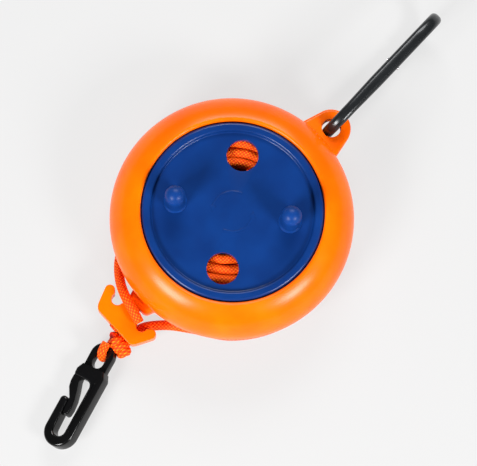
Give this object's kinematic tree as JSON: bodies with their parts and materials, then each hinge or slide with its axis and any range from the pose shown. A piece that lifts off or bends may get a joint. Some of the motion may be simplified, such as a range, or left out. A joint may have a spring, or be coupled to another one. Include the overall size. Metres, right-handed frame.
{
  "type": "hand-wound cord reel",
  "caption": "Round orange cord reel with a finger-wound blue spool, an eyelet with a carabiner, and a braided cord ending in a cleat and a snap hook.",
  "frame": {"origin": "centre of the flat back face of the rear case, on the surface the reel lies on", "axes": "+Z along the spool's axis towards the finger pegs, +X towards the eyelet and carabiner, -X towards the spout and snap hook"},
  "size_m": [0.2864, 0.1194, 0.057],
  "materials": {
    "orange_shell": "glossy moulded orange",
    "blue_disc": "semi-gloss moulded blue",
    "black_plastic": "glossy black",
    "orange_cord": "braided",
    "nylon": "natural nylon",
    "bright_steel": "plated",
    "black_anodised": "black gloss anodised"
  },
  "bodies": {
    "case": {"front_case": "orange_shell", "rear_case": "orange_shell", "case_screw_1": "bright_steel", "case_screw_2": "bright_steel", "case_screw_3": "bright_steel", "case_screw_4": "bright_steel", "axle_bush": "nylon", "thrust_washer": "nylon", "axle_washer": "bright_steel", "axle_screw": "bright_steel", "cord_lead": "orange_cord", "cord_tail": "orange_cord", "stopper_knot": "orange_cord", "hook_loop": "orange_cord", "cleat": "orange_shell"},
    "spool": {"spool_disc": "blue_disc", "finger_peg_1": "blue_disc", "finger_peg_2": "blue_disc", "spool_core": "blue_disc", "spool_screw_1": "bright_steel", "spool_screw_2": "bright_steel", "spool_screw_3": "bright_steel", "cord_winding": "orange_cord"},
    "carabiner": {"carabiner_frame": "black_anodised", "gate_rivet": "bright_steel"},
    "carabiner_gate": {"carabiner_gate": "bright_steel", "nose_pin": "bright_steel", "gate_spring": "bright_steel"},
    "snap_hook": {"snap_hook": "black_plastic"},
    "snap_hook_gate": {"snap_hook_gate": "black_plastic"}
  },
  "joints": [
    {"name": "spool_turn", "type": "hinge", "parent": "case", "child": "spool", "pos_m": [0, 0, 0.02], "axis": [0, 0, 1], "continuous": true},
    {"name": "carabiner_swing", "type": "hinge", "parent": "case", "child": "carabiner", "pos_m": [0.0653, 0.00025, 0.021], "axis": [0, 0, 1], "range_deg": [-70, 70]},
    {"name": "carabiner_gate_open", "type": "hinge", "parent": "carabiner", "child": "carabiner_gate", "pos_m": [0.0772, 0.00275, 0.00645], "axis": [0.0769, -0.9904, -0.1148], "range_deg": [0, 24], "stiffness_Nm_per_rad": 0.1, "springref_deg": -17.19},
    {"name": "snap_hook_swing", "type": "hinge", "parent": "case", "child": "snap_hook", "pos_m": [-0.09182, -0.00665, 0.0071], "axis": [-0.1344, 0.3839, 0.9135], "range_deg": [-20, 20]},
    {"name": "snap_hook_gate_open", "type": "hinge", "parent": "snap_hook", "child": "snap_hook_gate", "pos_m": [-0.10838, -0.00625, 0.0045], "axis": [-0.1344, 0.3839, 0.9135], "range_deg": [0, 14], "stiffness_Nm_per_rad": 0.2, "springref_deg": -11.46}
  ]
}
